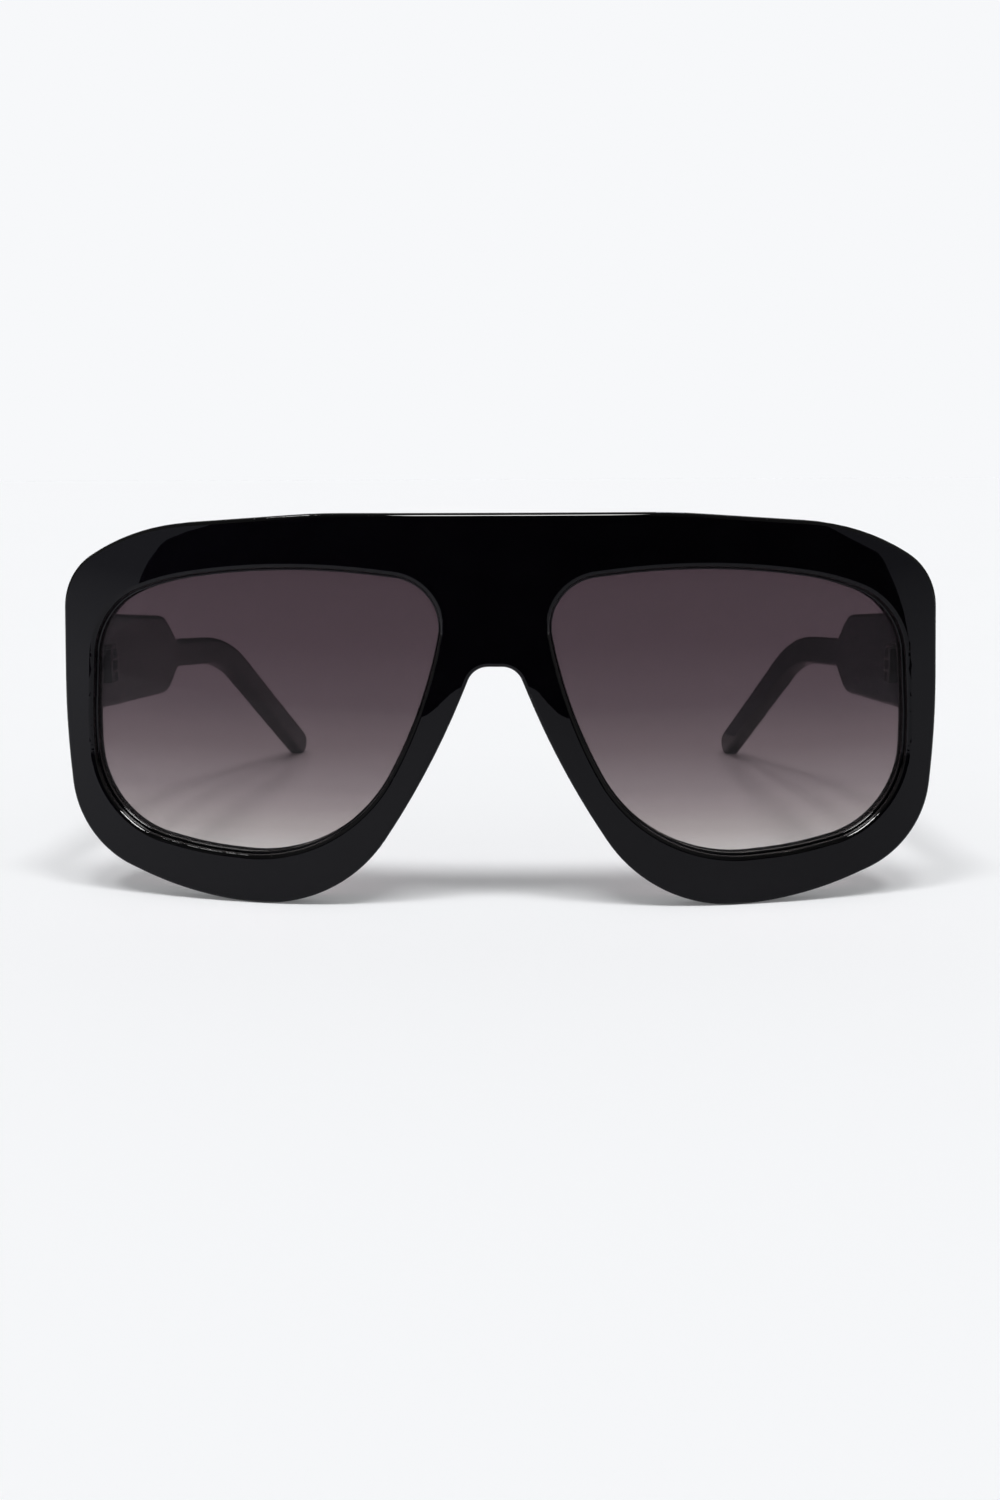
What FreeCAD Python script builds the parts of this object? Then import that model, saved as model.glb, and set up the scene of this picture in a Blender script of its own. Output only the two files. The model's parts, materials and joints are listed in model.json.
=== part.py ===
import FreeCAD, Part
import math
import os

# Oversized sunglasses, open, standing on the lower rims and the two temple tips.
# X runs across the face, Y from the front backwards, Z up. Lengths are millimetres, angles degrees.
# Left and right are the wearer's: the left side is at +X.
# Everything is drawn with Y = 0 at the foremost point of the bridge and Z = 0 on the table.
# The finished pieces are then moved so that the origin is under the middle of the whole object.

Vector = FreeCAD.Vector
ACROSS = Vector(1, 0, 0)
BACK = Vector(0, 1, 0)
UP = Vector(0, 0, 1)

# Front: lens size, gap between the lenses, rim widths round the lenses, and curve
LENS_WIDTH = 61.2
LENS_HEIGHT = 48.15
BRIDGE_WIDTH = 19.5
RIM_TOP = 9.3
RIM_BOTTOM = 9.15
RIM_SIDE = 5.25
FRONT_RADIUS = 250.0
FRONT_EDGE_ROUND = 0.6

# Nose opening: height and width of the arch, and where its flanks and the lower lobes spread
ARCH_HEIGHT = 41.5
ARCH_WIDTH = 7.1
ARCH_ROUND = 3.6
FLANK_HEIGHT = 24.0
FLANK_SPREAD = 1.0
FLANK_ROUND = 144.0
LOBE_DIP = 0.7
LOBE_SPREAD = 17.3
LOBE_ROUND = 26.3

# Lens seat in the rim, from the front face backwards: step, lip, groove, back lip
SEAT_MARGIN = 0.4
SEAT_DEPTH = 1.2
SEAT_ROUND = 0.75
LIP_THICKNESS = 0.5
LIP_ROUND = 0.25
GROOVE_DEPTH = 0.85
LENS_THICKNESS = 1.8
LENS_CLEARANCE = 0.05
BACK_LIP_THICKNESS = 0.5

# End lug that carries the hinge, behind the side of the rim
LUG_WIDTH = 5.1
LUG_REACH = 0.9
LUG_EDGE_ROUND = 0.4

# Hinge: three knuckles on one screw, with a washer either side of the middle one
HINGE_INSET = 6.45
HINGE_DROP = 0.7
KNUCKLE_RADIUS = 1.4
KNUCKLE_HEIGHT = 1.7
KNUCKLE_GAP = 0.2
HINGE_SPACE = 0.3
HINGE_EDGE_ROUND = 0.12
WASHER_THICKNESS = 0.35
WASHER_PLAY = 0.02
SCREW_RADIUS = 0.7
SCREW_FIT = 0.03
SCREW_HEAD_RADIUS = 1.15
SCREW_HEAD_HEIGHT = 0.6
SCREW_SLOT_WIDTH = 0.4
SCREW_SLOT_DEPTH = 0.3
WEB_WIDTH = 2.2
LEAF_THICKNESS = 1.0
LEAF_FIT = 0.02
LEAF_MARGIN = 0.6
FRONT_LEAF_COVER = 1.5
TEMPLE_LEAF_LENGTH = 9.5
PRONG_RADIUS = 0.6
PRONG_LENGTH = 1.7
PRONG_INSET = 1.5
PRONG_SPACING = 2.4
PRONG_FIT = 0.03

# Temple: broad front part, narrow arm, drop behind the ear
TEMPLE_GAP = 0.3
TEMPLE_THICKNESS = 4.0
TIP_THICKNESS = 3.7
TEMPLE_START_HEIGHT = 40.4
BROAD_HEIGHT = 17.2
BROAD_END_HEIGHT = 15.8
BROAD_LENGTH = 42.0
BROAD_TAPER = 7.0
BROAD_ROUND = 9.0
ARM_HEIGHT = 5.8
ARM_ROUND = 4.0
EAR_BEND = 78.0
EAR_BEND_ROUND = 45.0
EAR_DROP_LENGTH = 55.5
EAR_DROP_ANGLE = 33.0
INWARD_BEND = 54.8
INWARD_BEND_ROUND = 220.0
INWARD_ANGLE_FRONT = 2.6
INWARD_ANGLE_BACK = 10.9
TEMPLE_EDGE_ROUND = 1.0

# Stiffening wire inside the temple
CORE_THICKNESS = 1.4
CORE_HEIGHT = 2.6
CORE_LEAD = 3.0
CORE_END_WALL = 6.0
CORE_CLEARANCE = 0.03

# Nose pad: a rounded block that leans with the flank of the nose opening and spreads backwards
PAD_LENGTH = 13.0
PAD_WIDTH = 2.6
PAD_DEPTH = 4.0
PAD_HEIGHT = 21.0
PAD_INSET = 2.4
PAD_LEAN = 29.5
PAD_SPLAY = 8.0
PAD_CREST = 5.0
PAD_CORNER_ROUND = 4.0
PAD_ROUND = 1.1
PAD_CLEARANCE = 0.02

# Outline corners as (across, up, rounding). For the lens these are shares of its half width, half
# height and half width, from its centre. For the front, of its half width, height and half width.
LENS_CORNERS = [
    (-1.055, 0.907, 0.30),
    (-0.161, 1.043, 3.89),
    (0.526, 0.916, 1.47),
    (0.946, 0.718, 0.44),
    (0.999, -0.089, 2.91),
    (0.995, -0.810, 0.52),
    (0.360, -0.985, 2.00),
    (-0.455, -1.058, 0.98),
    (-0.922, 0.044, 3.00),
]
FRONT_CORNERS = [
    (0.394, 1.0, 1.64),
    (0.809, 0.967, 0.52),
    (0.987, 0.846, 0.149),
    (1.004, 0.454, 2.0),
    (0.986, 0.136, 0.224),
    (0.750, 0.032, 0.82),
    (0.616, 0.003, 0.80),
]

# Reach of the cutting tools, what counts as touching, and the most of a wall that a rounding may take
TOOL_REACH = 60.0
TOUCH = 1e-3
MOST_ROUND = 0.9

# Places that follow from the sizes above
NOSE_TURN = math.asin(BRIDGE_WIDTH / 2 / FRONT_RADIUS)
LENS_HALF_TURN = math.asin(LENS_WIDTH / 2 / FRONT_RADIUS)
LENS_TURN = NOSE_TURN + LENS_HALF_TURN
LENS_CENTRE_HEIGHT = RIM_BOTTOM + LENS_HEIGHT / 2
HALF_WIDTH = FRONT_RADIUS * math.sin(LENS_TURN + LENS_HALF_TURN) + RIM_SIDE
FRONT_HEIGHT = RIM_BOTTOM + LENS_HEIGHT + RIM_TOP
SIDE_SAG = FRONT_RADIUS - math.sqrt(FRONT_RADIUS ** 2 - HALF_WIDTH ** 2)
SEAT_RADIUS = FRONT_RADIUS - SEAT_DEPTH
GROOVE_FRONT_RADIUS = SEAT_RADIUS - LIP_THICKNESS
GROOVE_BACK_RADIUS = GROOVE_FRONT_RADIUS - LENS_THICKNESS - 2 * LENS_CLEARANCE
BACK_RADIUS = GROOVE_BACK_RADIUS - BACK_LIP_THICKNESS
FRONT_THICKNESS = FRONT_RADIUS - BACK_RADIUS
JOINT_Y = SIDE_SAG + FRONT_THICKNESS + LUG_REACH
LUG_INNER_X = HALF_WIDTH - LUG_WIDTH
HINGE_X = HALF_WIDTH - HINGE_INSET
HINGE_Y = JOINT_Y + HINGE_SPACE + KNUCKLE_RADIUS
KNUCKLE_PITCH = KNUCKLE_HEIGHT + WASHER_THICKNESS + 2 * WASHER_PLAY
STACK_HEIGHT = 2 * KNUCKLE_PITCH + KNUCKLE_HEIGHT
HINGE_HEIGHT = TEMPLE_START_HEIGHT - HINGE_DROP
STACK_BOTTOM = HINGE_HEIGHT - STACK_HEIGHT / 2
SCREW_BORE = SCREW_RADIUS + SCREW_FIT
FRONT_LEAF_START = HINGE_X - WEB_WIDTH / 2
FRONT_LEAF_END = HALF_WIDTH - FRONT_LEAF_COVER
TEMPLE_INNER_X = HINGE_X + KNUCKLE_RADIUS + KNUCKLE_GAP
TEMPLE_START_Y = JOINT_Y + TEMPLE_GAP
TEMPLE_LEAF_START = TEMPLE_START_Y + LEAF_MARGIN
CORE_START = TEMPLE_LEAF_START + TEMPLE_LEAF_LENGTH + CORE_LEAD
ARM_HALF = ARM_HEIGHT / 2
EAR_DROP = math.radians(EAR_DROP_ANGLE)
BEND_POINT = (JOINT_Y + EAR_BEND, ARM_HALF + EAR_DROP_LENGTH * math.sin(EAR_DROP))
TIP_POINT = (BEND_POINT[0] + EAR_DROP_LENGTH * math.cos(EAR_DROP), ARM_HALF)
TEMPLE_SLOPE = math.atan2(TEMPLE_START_HEIGHT - BEND_POINT[1], BEND_POINT[0] - TEMPLE_START_Y)


def on_front_plane(across, up):
    return Vector(across, 0, up)


def on_side_plane(back, up):
    return Vector(0, back, up)


def on_plan_plane(across, back):
    return Vector(across, back, 0)


def rounded_wire(corners, plane):
    """Closed wire through (a, b, radius) corners, each rounded by an arc tangent to its two sides."""
    points = [plane(a, b) for a, b, radius in corners]
    count = len(points)
    reaches = []
    for index, (a, b, radius) in enumerate(corners):
        side_before = points[index] - points[index - 1]
        side_after = points[(index + 1) % count] - points[index]
        reaches.append(radius * math.tan(side_before.getAngle(side_after) / 2))
    # Two arcs that would take more than the side between them shrink to share it
    shares = [1.0] * count
    for index in range(count):
        after = (index + 1) % count
        side = (points[after] - points[index]).Length
        share = min(1.0, side / max(reaches[index] + reaches[after], TOUCH))
        shares[index] = min(shares[index], share)
        shares[after] = min(shares[after], share)
    arcs = []
    for index, point in enumerate(points):
        reach = reaches[index] * shares[index]
        to_before = (points[index - 1] - point).normalize()
        to_after = (points[(index + 1) % count] - point).normalize()
        half_angle = to_before.getAngle(to_after) / 2
        radius = reach * math.tan(half_angle)
        bisector = (to_before + to_after).normalize()
        middle = point + bisector * (radius / math.sin(half_angle) - radius)
        arcs.append((point + to_before * reach, middle, point + to_after * reach))
    edges = []
    for index, (start, middle, end) in enumerate(arcs):
        next_start = arcs[(index + 1) % count][0]
        if (end - start).Length > TOUCH:
            edges.append(Part.Arc(start, middle, end).toShape())
        if (next_start - end).Length > TOUCH:
            edges.append(Part.LineSegment(end, next_start).toShape())
    return Part.Wire(Part.__sortEdges__(edges))


def prism(wire, direction):
    """Solid on both sides of a flat closed wire, long enough to pass through everything."""
    face = Part.Face(wire)
    face.translate(direction * -TOOL_REACH)
    return face.extrude(direction * (2 * TOOL_REACH))


def box(low, high):
    size = high - low
    return Part.makeBox(size.x, size.y, size.z, low)


def upright(radius, height, x, y, bottom):
    return Part.makeCylinder(radius, height, Vector(x, y, bottom), UP)


def face_cylinder(radius):
    """Upright cylinder behind the front, about the axis that the front face curves round."""
    return upright(radius, 4 * TOOL_REACH, 0, FRONT_RADIUS, -TOOL_REACH)


def middle_of(edge):
    return edge.valueAt((edge.FirstParameter + edge.LastParameter) / 2)


def edges_on_cylinder(shape, radius, tool=None):
    """Edges that lie on a face cylinder and, if a tool is given, on its surface too."""
    chosen = []
    for edge in shape.Edges:
        places = [vertex.Point for vertex in edge.Vertexes] + [middle_of(edge)]
        offsets = [abs(math.hypot(place.x, place.y - FRONT_RADIUS) - radius) for place in places]
        if max(offsets) > TOUCH:
            continue
        if tool is not None:
            skin = Part.Compound(tool.Faces)
            if max(skin.distToShape(Part.Vertex(place))[0] for place in places) > TOUCH:
                continue
        chosen.append(edge)
    return chosen


def unchanged(shape):
    return shape


def mirrored(shape):
    return shape.mirror(Vector(0, 0, 0), ACROSS)


def front_outline():
    left = []
    for across, up, rounding in FRONT_CORNERS:
        left.append((across * HALF_WIDTH, up * FRONT_HEIGHT, rounding * HALF_WIDTH))
    left.append((BRIDGE_WIDTH / 2 + LOBE_SPREAD, -LOBE_DIP, LOBE_ROUND))
    left.append((BRIDGE_WIDTH / 2 + FLANK_SPREAD, FLANK_HEIGHT, FLANK_ROUND))
    left.append((ARCH_WIDTH / 2, ARCH_HEIGHT, ARCH_ROUND))
    right = [(-across, up, radius) for across, up, radius in reversed(left)]
    wire = rounded_wire(left + right, on_front_plane)
    wire.translate(UP * -wire.BoundBox.ZMin)
    return wire


def eye_prism(margin):
    """Prism of the left lens outline, grown by a margin, square to the front at the lens centre."""
    corners = []
    for across, up, rounding in LENS_CORNERS:
        corners.append((across * LENS_WIDTH / 2, up * LENS_HEIGHT / 2, rounding * LENS_WIDTH / 2))
    wire = rounded_wire(corners, on_front_plane)
    if margin:
        wire = wire.makeOffset2D(margin)
    shape = prism(wire, BACK)
    shape.rotate(Vector(0, 0, 0), UP, math.degrees(LENS_TURN))
    x = FRONT_RADIUS * math.sin(LENS_TURN)
    y = FRONT_RADIUS - FRONT_RADIUS * math.cos(LENS_TURN)
    shape.translate(Vector(x, y, LENS_CENTRE_HEIGHT))
    return shape


def make_lug(outline_prism):
    """Block behind the side of the rim, as tall as the front end of the temple."""
    low = Vector(LUG_INNER_X, SIDE_SAG + FRONT_THICKNESS / 2, TEMPLE_START_HEIGHT - BROAD_HEIGHT / 2)
    high = Vector(HALF_WIDTH + RIM_SIDE, JOINT_Y, TEMPLE_START_HEIGHT + BROAD_HEIGHT / 2)
    lug = box(low, high).common(outline_prism)
    rounded = []
    for edge in lug.Edges:
        centre = edge.CenterOfMass
        on_end = edge.BoundBox.YMin > JOINT_Y - TOUCH
        on_level = centre.z < low.z + TOUCH or centre.z > high.z - TOUCH
        if on_end and centre.x > low.x + TOUCH:
            rounded.append(edge)
        elif on_level and not on_end and edge.BoundBox.XMin > low.x + TOUCH:
            rounded.append(edge)
    return lug.makeFillet(LUG_EDGE_ROUND, rounded)


def make_front_frame():
    outline_prism = prism(front_outline(), BACK)
    frame = outline_prism.common(face_cylinder(FRONT_RADIUS).cut(face_cylinder(BACK_RADIUS)))
    rims = edges_on_cylinder(frame, FRONT_RADIUS) + edges_on_cylinder(frame, BACK_RADIUS)
    frame = frame.makeFillet(FRONT_EDGE_ROUND, rims)
    lug = make_lug(outline_prism)
    frame = frame.fuse([lug, mirrored(lug)]).removeSplitter()
    seat = eye_prism(SEAT_MARGIN)
    through = eye_prism(0)
    groove = eye_prism(GROOVE_DEPTH)
    groove = groove.common(face_cylinder(GROOVE_FRONT_RADIUS).cut(face_cylinder(GROOVE_BACK_RADIUS)))
    step = seat.cut(face_cylinder(SEAT_RADIUS))
    seat_round = min(SEAT_ROUND, MOST_ROUND * SEAT_DEPTH)
    for side in (unchanged, mirrored):
        frame = frame.cut(side(step))
        frame = frame.makeFillet(seat_round, edges_on_cylinder(frame, FRONT_RADIUS, side(seat)))
        frame = frame.cut(side(through))
        frame = frame.makeFillet(LIP_ROUND, edges_on_cylinder(frame, SEAT_RADIUS, side(through)))
        frame = frame.cut(side(groove))
    return frame


def make_lens():
    lens = eye_prism(GROOVE_DEPTH - LENS_CLEARANCE)
    outer = face_cylinder(GROOVE_FRONT_RADIUS - LENS_CLEARANCE)
    inner = face_cylinder(GROOVE_BACK_RADIUS + LENS_CLEARANCE)
    return lens.common(outer.cut(inner))


def make_nose_pad():
    half_length = PAD_LENGTH / 2
    profile = [
        (-PAD_DEPTH, half_length, 0),
        (0, half_length, PAD_CORNER_ROUND),
        (PAD_DEPTH, PAD_CREST / 2, PAD_CORNER_ROUND),
        (PAD_DEPTH, -PAD_CREST / 2, PAD_CORNER_ROUND),
        (0, -half_length, PAD_CORNER_ROUND),
        (-PAD_DEPTH, -half_length, 0),
    ]
    face = Part.Face(rounded_wire(profile, on_side_plane))
    face.translate(ACROSS * (-PAD_WIDTH / 2))
    pad = face.extrude(ACROSS * PAD_WIDTH)
    rounded = [edge for edge in pad.Edges if edge.BoundBox.YMax > TOUCH - PAD_DEPTH]
    pad = pad.makeFillet(min(PAD_ROUND, MOST_ROUND * PAD_WIDTH / 2), rounded)
    pad.rotate(Vector(0, 0, 0), UP, -PAD_SPLAY)
    pad.rotate(Vector(0, 0, 0), BACK, -PAD_LEAN)
    flank_drop = FLANK_HEIGHT - PAD_HEIGHT
    x = BRIDGE_WIDTH / 2 + FLANK_SPREAD + flank_drop * math.tan(math.radians(PAD_LEAN)) + PAD_INSET
    y = FRONT_RADIUS - math.sqrt(BACK_RADIUS ** 2 - x ** 2)
    pad.translate(Vector(x, y, PAD_HEIGHT))
    return pad.common(face_cylinder(BACK_RADIUS - PAD_CLEARANCE))


def knuckle(level):
    """Hinge barrel at one level of the stack: 0 is the lowest and 2 the highest."""
    bottom = STACK_BOTTOM + level * KNUCKLE_PITCH
    barrel = upright(KNUCKLE_RADIUS, KNUCKLE_HEIGHT, HINGE_X, HINGE_Y, bottom)
    rims = [edge for edge in barrel.Edges if edge.Closed]
    return barrel.makeFillet(HINGE_EDGE_ROUND, rims)


def bored(shape):
    return shape.cut(upright(SCREW_BORE, 2 * TOOL_REACH, HINGE_X, HINGE_Y, -TOOL_REACH / 2))


def front_leaf(fit):
    """Leaf on the back of the lug with its two prongs, grown all round by the fit of its recess."""
    low = Vector(FRONT_LEAF_START - fit, JOINT_Y - LEAF_THICKNESS - fit, STACK_BOTTOM - fit)
    high = Vector(FRONT_LEAF_END + fit, JOINT_Y, STACK_BOTTOM + STACK_HEIGHT + fit)
    leaf = box(low, high)
    radius = PRONG_RADIUS + (PRONG_FIT if fit else 0)
    length = LEAF_THICKNESS / 2 + PRONG_LENGTH + fit
    x = FRONT_LEAF_END - PRONG_INSET
    y = JOINT_Y - LEAF_THICKNESS / 2
    for step in (-PRONG_SPACING / 2, PRONG_SPACING / 2):
        leaf = leaf.fuse(Part.makeCylinder(radius, length, Vector(x, y, HINGE_HEIGHT + step), BACK * -1))
    return leaf


def make_front_hinge():
    hinge = front_leaf(0)
    for level in (0, 2):
        bottom = STACK_BOTTOM + level * KNUCKLE_PITCH
        low = Vector(FRONT_LEAF_START, JOINT_Y - LEAF_THICKNESS / 2, bottom)
        high = Vector(HINGE_X + WEB_WIDTH / 2, HINGE_Y, bottom + KNUCKLE_HEIGHT)
        hinge = hinge.fuse([box(low, high), knuckle(level)])
    return bored(hinge).removeSplitter()


def temple_leaf(fit):
    """Leaf on the inner face of the temple with its prongs, grown all round by the fit of its recess."""
    end = TEMPLE_LEAF_START + TEMPLE_LEAF_LENGTH
    low = Vector(TEMPLE_INNER_X, TEMPLE_LEAF_START - fit, STACK_BOTTOM - fit)
    top = STACK_BOTTOM + STACK_HEIGHT + fit
    high = Vector(TEMPLE_INNER_X + LEAF_THICKNESS + fit, end + fit, top)
    leaf = box(low, high)
    radius = PRONG_RADIUS + (PRONG_FIT if fit else 0)
    length = LEAF_THICKNESS / 2 + PRONG_LENGTH + fit
    x = TEMPLE_INNER_X + LEAF_THICKNESS / 2
    for step in (0, PRONG_SPACING):
        base = Vector(x, end - PRONG_INSET - step, HINGE_HEIGHT)
        leaf = leaf.fuse(Part.makeCylinder(radius, length, base, ACROSS))
    leaf.rotate(Vector(TEMPLE_INNER_X, TEMPLE_START_Y, 0), UP, INWARD_ANGLE_FRONT)
    return leaf


def make_temple_hinge():
    bottom = STACK_BOTTOM + KNUCKLE_PITCH
    low = Vector(HINGE_X, TEMPLE_LEAF_START, bottom)
    high = Vector(TEMPLE_INNER_X + LEAF_THICKNESS / 2, HINGE_Y + WEB_WIDTH / 2, bottom + KNUCKLE_HEIGHT)
    web = box(low, high)
    return bored(temple_leaf(0).fuse([web, knuckle(1)])).removeSplitter()


def make_screw():
    head_bottom = STACK_BOTTOM + STACK_HEIGHT
    shank = upright(SCREW_RADIUS, STACK_HEIGHT, HINGE_X, HINGE_Y, STACK_BOTTOM)
    head = upright(SCREW_HEAD_RADIUS, SCREW_HEAD_HEIGHT, HINGE_X, HINGE_Y, head_bottom)
    head_top = head_bottom + SCREW_HEAD_HEIGHT
    rim = [edge for edge in head.Edges if edge.Closed and edge.CenterOfMass.z > head_top - TOUCH]
    head = head.makeFillet(HINGE_EDGE_ROUND, rim)
    low = Vector(HINGE_X - SCREW_HEAD_RADIUS, HINGE_Y - SCREW_SLOT_WIDTH / 2, head_top - SCREW_SLOT_DEPTH)
    high = Vector(HINGE_X + SCREW_HEAD_RADIUS, HINGE_Y + SCREW_SLOT_WIDTH / 2, head_top + SCREW_SLOT_DEPTH)
    return shank.fuse(head.cut(box(low, high))).removeSplitter()


def make_washer(level):
    """Washer on top of the knuckle of the given level."""
    bottom = STACK_BOTTOM + level * KNUCKLE_PITCH + KNUCKLE_HEIGHT + WASHER_PLAY
    return bored(upright(KNUCKLE_RADIUS, WASHER_THICKNESS, HINGE_X, HINGE_Y, bottom))


def temple_line(y):
    """Height of the temple's middle line in front of the ear bend."""
    return TEMPLE_START_HEIGHT - (y - TEMPLE_START_Y) * math.tan(TEMPLE_SLOPE)


def band_corners(half_height, tip_reach):
    """Corners of a band along the bent arm, from its upper bend corner round the tip to its lower one."""
    half_bend = (EAR_DROP - TEMPLE_SLOPE) / 2
    lean = TEMPLE_SLOPE + half_bend
    offset = half_height / math.cos(half_bend)
    up = (offset * math.sin(lean), offset * math.cos(lean))
    ahead = (math.cos(EAR_DROP), -math.sin(EAR_DROP))
    side = (math.sin(EAR_DROP) * half_height, math.cos(EAR_DROP) * half_height)
    tip = (TIP_POINT[0] + tip_reach * ahead[0], TIP_POINT[1] + tip_reach * ahead[1])
    return [
        (BEND_POINT[0] + up[0], BEND_POINT[1] + up[1], EAR_BEND_ROUND + half_height),
        (tip[0] + side[0], tip[1] + side[1], half_height),
        (tip[0] - side[0], tip[1] - side[1], half_height),
        (BEND_POINT[0] - up[0], BEND_POINT[1] - up[1], EAR_BEND_ROUND - half_height),
    ]


def plan_wire(width=None):
    """Plan outline of the temple, or of a band of some width along its middle, run on past the tip."""
    bend_y = JOINT_Y + INWARD_BEND
    end_y = TIP_POINT[0] + 2 * ARM_HEIGHT
    bend_x = TEMPLE_INNER_X - (bend_y - TEMPLE_START_Y) * math.tan(math.radians(INWARD_ANGLE_FRONT))
    end_x = bend_x - (end_y - bend_y) * math.tan(math.radians(INWARD_ANGLE_BACK))
    stations = [(TEMPLE_INNER_X, TEMPLE_START_Y, 0), (bend_x, bend_y, INWARD_BEND_ROUND), (end_x, end_y, 0)]
    inner = []
    outer = []
    for inner_x, y, radius in stations:
        share = (y - TEMPLE_START_Y) / (end_y - TEMPLE_START_Y)
        thickness = TEMPLE_THICKNESS + (TIP_THICKNESS - TEMPLE_THICKNESS) * share
        half = (width or thickness) / 2
        middle = inner_x + thickness / 2
        inner.append((middle - half, y, radius))
        outer.append((middle + half, y, radius))
    return rounded_wire(inner + outer[::-1], on_plan_plane)


def temple_side_wire():
    broad_end = JOINT_Y + BROAD_LENGTH
    arm_start = broad_end + BROAD_TAPER
    upper = [
        (TEMPLE_START_Y, TEMPLE_START_HEIGHT + BROAD_HEIGHT / 2, 0),
        (broad_end, temple_line(broad_end) + BROAD_END_HEIGHT / 2, BROAD_ROUND),
        (arm_start, temple_line(arm_start) + ARM_HALF / math.cos(TEMPLE_SLOPE), ARM_ROUND),
    ]
    lower = [
        (arm_start, temple_line(arm_start) - ARM_HALF / math.cos(TEMPLE_SLOPE), ARM_ROUND),
        (broad_end, temple_line(broad_end) - BROAD_END_HEIGHT / 2, BROAD_ROUND),
        (TEMPLE_START_Y, TEMPLE_START_HEIGHT - BROAD_HEIGHT / 2, 0),
    ]
    return rounded_wire(upper + band_corners(ARM_HALF, ARM_HALF) + lower, on_side_plane)


def make_core(clearance):
    """Wire along the middle of the temple, grown all round by a clearance."""
    half_height = CORE_HEIGHT / 2 + clearance
    start = CORE_START - clearance
    rise = half_height / math.cos(TEMPLE_SLOPE)
    corners = [(start, temple_line(start) + rise, 0)]
    corners += band_corners(half_height, clearance - CORE_END_WALL)
    corners.append((start, temple_line(start) - rise, 0))
    plan = prism(plan_wire(CORE_THICKNESS + 2 * clearance), UP)
    return prism(rounded_wire(corners, on_side_plane), ACROSS * 2).common(plan)


def make_temple():
    plan = prism(plan_wire(), UP)
    temple = prism(temple_side_wire(), ACROSS * 2).common(plan)
    long_edges = [edge for edge in temple.Edges if middle_of(edge).y > TEMPLE_START_Y + TOUCH]
    temple = temple.makeFillet(min(TEMPLE_EDGE_ROUND, MOST_ROUND * TIP_THICKNESS / 2), long_edges)
    end_edges = [edge for edge in temple.Edges if edge.BoundBox.YMax < TEMPLE_START_Y + TOUCH]
    temple = temple.makeFillet(LUG_EDGE_ROUND, end_edges)
    return temple.cut([make_core(CORE_CLEARANCE), temple_leaf(LEAF_FIT)])


def build_left_pieces():
    """Every piece of the left side, by the first part of its name."""
    return {
        "lens": make_lens(),
        "nose_pad": make_nose_pad(),
        "front_hinge": make_front_hinge(),
        "temple_hinge": make_temple_hinge(),
        "hinge_screw": make_screw(),
        "hinge_washer_lower": make_washer(0),
        "hinge_washer_upper": make_washer(1),
        "temple": make_temple(),
        "temple_core": make_core(0),
    }


def main():
    left_pieces = build_left_pieces()
    recess = front_leaf(LEAF_FIT)
    pieces = {"front_frame": make_front_frame().cut([recess, mirrored(recess)])}
    for name, shape in left_pieces.items():
        pieces[name + "_left"] = shape
        pieces[name + "_right"] = mirrored(shape)
    depth = left_pieces["temple"].optimalBoundingBox(False, False).YMax
    os.makedirs("parts", exist_ok=True)
    for name, shape in pieces.items():
        shape.translate(BACK * (-depth / 2))
        shape.exportStep("parts/" + name + ".step")
        print(name, len(shape.Solids), "solid", round(shape.Volume, 2), "mm3 valid", shape.isValid())
    print("depth", round(depth, 3), "half width", round(HALF_WIDTH, 3), "height", round(FRONT_HEIGHT, 3))
    print("hinge axis", round(HINGE_X, 4), round(HINGE_Y - depth / 2, 4), round(HINGE_HEIGHT, 4))


main()
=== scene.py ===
# %% [markdown]
# Oversized sunglasses, dressed for a product picture.
# The construction is already done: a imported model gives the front, lenses, temples and hinges as
# separate pieces in metres, with +X to the wearer's left, +Y towards the temple tips and +Z up.
# This lesson leaves those shapes where they are and gives them their finishes, light and camera.

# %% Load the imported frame
import bmesh
import bpy
import json
import math
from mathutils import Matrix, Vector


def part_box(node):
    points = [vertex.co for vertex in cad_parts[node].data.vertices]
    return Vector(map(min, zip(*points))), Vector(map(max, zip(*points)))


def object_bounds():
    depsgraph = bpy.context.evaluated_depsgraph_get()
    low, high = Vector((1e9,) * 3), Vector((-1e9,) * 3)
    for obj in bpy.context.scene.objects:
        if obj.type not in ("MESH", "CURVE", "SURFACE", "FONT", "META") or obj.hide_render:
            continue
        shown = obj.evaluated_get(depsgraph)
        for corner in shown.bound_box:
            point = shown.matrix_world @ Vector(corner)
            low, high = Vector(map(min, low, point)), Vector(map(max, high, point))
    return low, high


MM = 0.001

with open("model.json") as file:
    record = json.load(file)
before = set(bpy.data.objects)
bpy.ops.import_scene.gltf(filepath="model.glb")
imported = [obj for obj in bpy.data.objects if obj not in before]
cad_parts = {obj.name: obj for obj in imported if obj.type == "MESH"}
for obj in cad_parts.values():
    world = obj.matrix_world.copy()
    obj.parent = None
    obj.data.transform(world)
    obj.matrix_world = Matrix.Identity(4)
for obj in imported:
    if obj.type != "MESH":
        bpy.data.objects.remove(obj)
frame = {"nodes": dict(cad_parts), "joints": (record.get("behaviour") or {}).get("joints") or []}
pieces = frame["nodes"]
packed_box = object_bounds()
print("pieces loaded:", len(pieces))
print("packed box in mm:", [[round(value / MM, 2) for value in corner] for corner in packed_box])

# %% [markdown]
# The camera is the one measured from the picture: a 36 mm lens a quarter of a metre in front of the
# bridge, a little above the brow, looking down. A longer lens from further off would frame the front
# just as well, but only so near a camera makes the temple tips look as small as they should.
# Its place is worked out from the foremost point of the front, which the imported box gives.

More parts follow.
